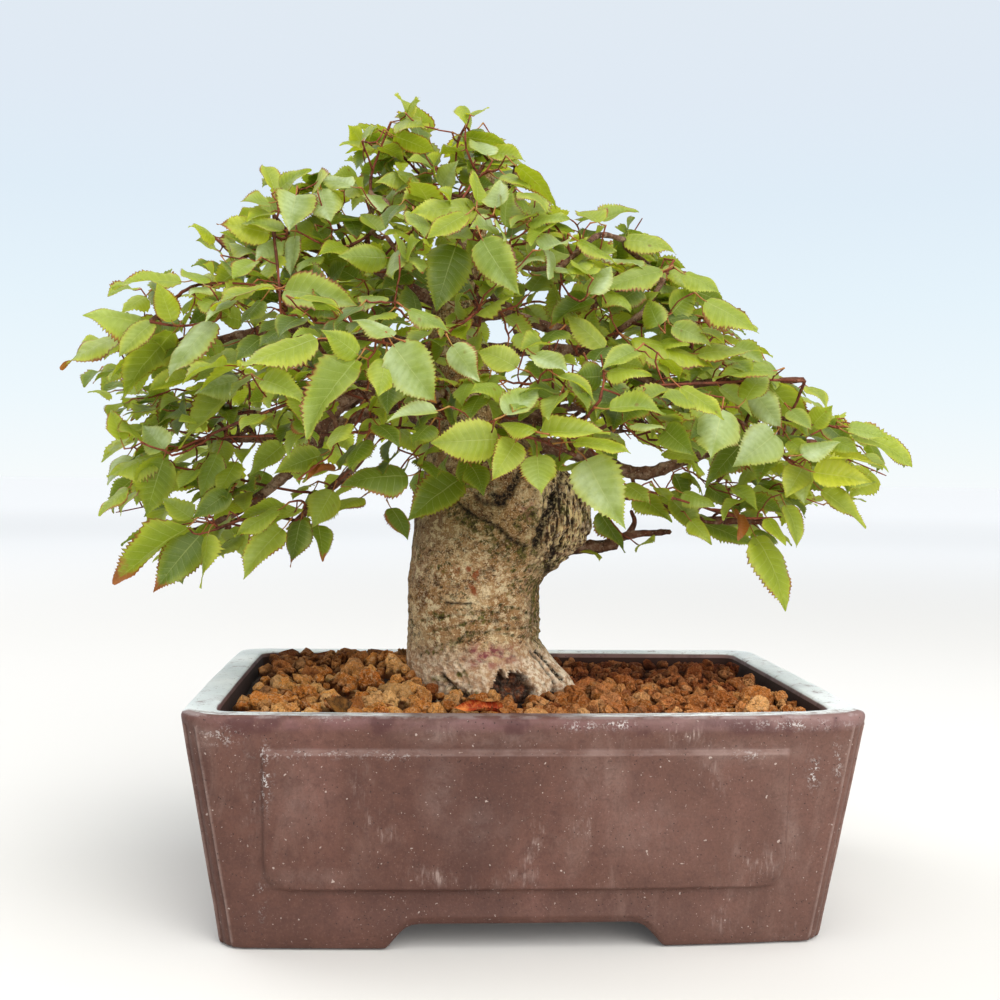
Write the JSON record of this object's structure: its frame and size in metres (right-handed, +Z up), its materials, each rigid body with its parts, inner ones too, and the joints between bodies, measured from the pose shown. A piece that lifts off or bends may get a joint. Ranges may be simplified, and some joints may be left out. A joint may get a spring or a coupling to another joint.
{
  "type": "korean hornbeam bonsai",
  "caption": "Broad-domed Korean hornbeam bonsai with a thick leaning trunk and serrated leaves, growing in a tapered rectangular unglazed clay pot on four feet.",
  "frame": {"origin": "on the surface the pot stands on, at the middle of the tree's outline seen from above, which is also the middle of the pot", "axes": "+X along the pot's long side, to the right as seen from the front; +Y to the back; +Z up"},
  "size_m": [0.2929, 0.214, 0.2697],
  "materials": {
    "pot_clay": "satin",
    "soil_grains": "matte",
    "trunk_bark": "matte",
    "stem_bark": "matte",
    "leaf_green": "satin",
    "leaf_dead": "matte",
    "mesh_plastic": "matte",
    "wire_aluminium": "satin"
  },
  "bodies": {
    "root": {"branch_back_high": "stem_bark", "branch_back_left": "stem_bark", "branch_back_right": "stem_bark", "branch_front": "stem_bark", "branch_front_left": "stem_bark", "branch_left_high": "stem_bark", "branch_left_low": "stem_bark", "branch_left_mid": "stem_bark", "branch_right_high": "stem_bark", "branch_right_low": "stem_bark", "branch_right_mid": "stem_bark", "branch_top_left": "stem_bark", "branch_top_right": "stem_bark", "drain_mesh_left": "mesh_plastic", "drain_mesh_right": "mesh_plastic", "fallen_leaf_brown": "leaf_dead", "fallen_leaf_curled": "leaf_dead", "foliage_apex": "leaf_green", "foliage_back_high": "leaf_green", "foliage_back_left": "leaf_green", "foliage_back_right": "leaf_green", "foliage_front": "leaf_green", "foliage_front_high": "leaf_green", "foliage_front_left": "leaf_green", "foliage_left_high": "leaf_green", "foliage_left_low": "leaf_green", "foliage_left_mid": "leaf_green", "foliage_right_high": "leaf_green", "foliage_right_low": "leaf_green", "foliage_right_mid": "leaf_green", "foliage_top_left": "leaf_green", "foliage_top_right": "leaf_green", "mesh_wire_left": "wire_aluminium", "mesh_wire_right": "wire_aluminium", "pot": "pot_clay", "soil_bed": "soil_grains", "stub_right": "stem_bark", "trunk": "trunk_bark"}
  },
  "joints": []
}
